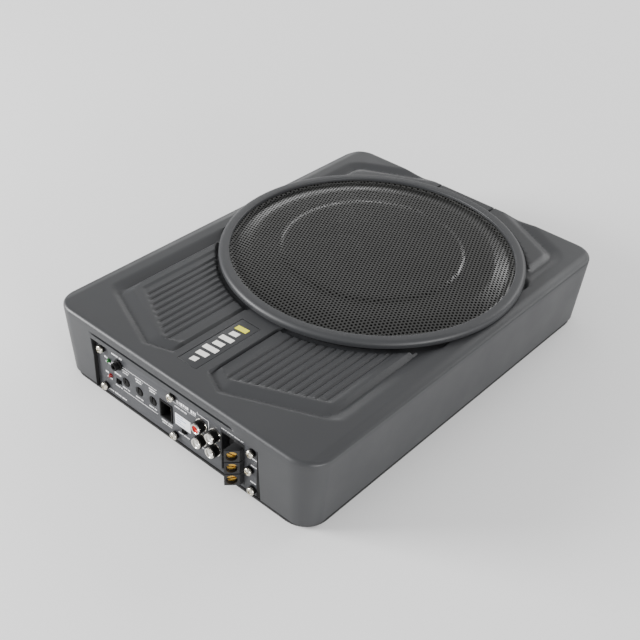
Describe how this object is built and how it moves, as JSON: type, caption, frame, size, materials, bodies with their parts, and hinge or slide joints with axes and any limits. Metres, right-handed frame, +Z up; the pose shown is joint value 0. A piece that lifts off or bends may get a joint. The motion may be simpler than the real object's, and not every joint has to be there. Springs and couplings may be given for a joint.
{
  "type": "powered car subwoofer",
  "caption": "Shallow under-seat powered subwoofer: drafted cast housing, round perforated grille over a slim driver, recessed end panel with controls and terminals.",
  "frame": {"origin": "middle of the base plate's underside", "axes": "+X across the width, +Y along the length away from the control panel, +Z up through the grille"},
  "size_m": [0.2528, 0.3509, 0.07],
  "materials": {
    "cast_paint": "satin dark grey powder coat on cast aluminium",
    "ring_paint": "satin dark grey paint",
    "plate_steel": "black painted sheet steel",
    "black_foam": "black closed-cell foam",
    "dark_screw": "black zinc screw",
    "grille_steel": "semi-gloss black paint on perforated steel",
    "badge_white": "white moulded bars",
    "panel_paint": "satin dark grey painted steel with white print",
    "nickel_screw": "nickel plated steel",
    "nickel_shell": "nickel plated phono shell",
    "black_plastic": "moulded black plastic",
    "terminal_plastic": "moulded black phenolic",
    "pot_case": "pressed steel case",
    "green_lens": "green epoxy lens",
    "red_lens": "red epoxy lens",
    "red_plastic": "red plastic insert",
    "white_plastic": "white plastic",
    "gold_brass": "gold plated brass",
    "label_white": "white paper label",
    "board_green": "green fibreglass board",
    "capacitor_sleeve": "dark sleeve over an aluminium can",
    "copper_wire": "enamelled copper wire",
    "chip_epoxy": "moulded epoxy",
    "bare_aluminium": "bare aluminium",
    "basket_steel": "black painted pressed steel",
    "zinc_steel": "zinc plated steel",
    "ferrite": "sintered ferrite",
    "paper_cone": "coated black paper pulp",
    "rubber_roll": "butyl rubber half roll",
    "spider_cloth": "resin-treated corrugated cotton"
  },
  "bodies": {
    "enclosure": {"housing": "cast_paint", "base_plate": "plate_steel", "base_gasket": "black_foam", "base_screws": "dark_screw", "grille_ring": "ring_paint", "grille": "grille_steel", "badge_plate": "ring_paint", "badge_bars": "badge_white", "control_panel": "panel_paint", "panel_screws": "nickel_screw", "potentiometers": "pot_case", "power_led": "green_lens", "protect_led": "red_lens", "remote_jack": "black_plastic", "remote_jack_nut": "black_plastic", "phase_switch_body": "pot_case", "input_switch_body": "pot_case", "high_level_socket": "black_plastic", "high_level_pins": "nickel_screw", "rca_shells": "nickel_shell", "rca_insert_red": "red_plastic", "rca_insert_white": "white_plastic", "rca_output_inserts": "white_plastic", "rca_block": "black_plastic", "terminal_block": "terminal_plastic", "terminal_screws": "gold_brass", "terminal_clamps": "gold_brass", "panel_label": "label_white", "main_board": "board_green", "standoffs": "gold_brass", "board_screws": "nickel_screw", "control_board": "board_green", "capacitors": "capacitor_sleeve", "toroid_coil": "copper_wire", "output_choke": "copper_wire", "amplifier_chip": "chip_epoxy", "heat_clamp": "bare_aluminium", "transistors": "chip_epoxy", "speaker_connector": "white_plastic", "basket_gasket": "black_foam", "woofer_basket": "basket_steel", "woofer_screws": "dark_screw", "top_plate": "zinc_steel", "magnet": "ferrite", "yoke": "zinc_steel", "surround": "rubber_roll", "spider": "spider_cloth", "spider_ring": "basket_steel", "speaker_terminal": "chip_epoxy"},
    "gain_knob": {"gain_knob": "black_plastic"},
    "lowpass_knob": {"lowpass_knob": "black_plastic"},
    "bass_knob": {"bass_knob": "black_plastic"},
    "phase_slider": {"phase_switch_slider": "black_plastic"},
    "input_slider": {"input_switch_slider": "black_plastic"},
    "cone_assembly": {"cone": "paper_cone", "dust_cap": "paper_cone", "coil_former": "bare_aluminium", "voice_coil": "copper_wire"}
  },
  "joints": [
    {"name": "gain_turn", "type": "hinge", "parent": "enclosure", "child": "gain_knob", "pos_m": [-0.0537, -0.1675, 0.0234], "axis": [0, -1, 0], "range_deg": [-145, 145]},
    {"name": "lowpass_turn", "type": "hinge", "parent": "enclosure", "child": "lowpass_knob", "pos_m": [-0.0393, -0.1675, 0.0234], "axis": [0, -1, 0], "range_deg": [-145, 145]},
    {"name": "bass_turn", "type": "hinge", "parent": "enclosure", "child": "bass_knob", "pos_m": [-0.0249, -0.1675, 0.0234], "axis": [0, -1, 0], "range_deg": [-145, 145]},
    {"name": "phase_slide", "type": "slide", "parent": "enclosure", "child": "phase_slider", "axis": [1, 0, 0], "range_m": [-0.0012, 0.0012]},
    {"name": "input_slide", "type": "slide", "parent": "enclosure", "child": "input_slider", "axis": [1, 0, 0], "range_m": [-0.001, 0.001]},
    {"name": "cone_travel", "type": "slide", "parent": "enclosure", "child": "cone_assembly", "axis": [0, 0, 1], "range_m": [-0.004, 0.004], "stiffness_N_per_m": 2500, "deforming": ["surround", "spider"]}
  ]
}
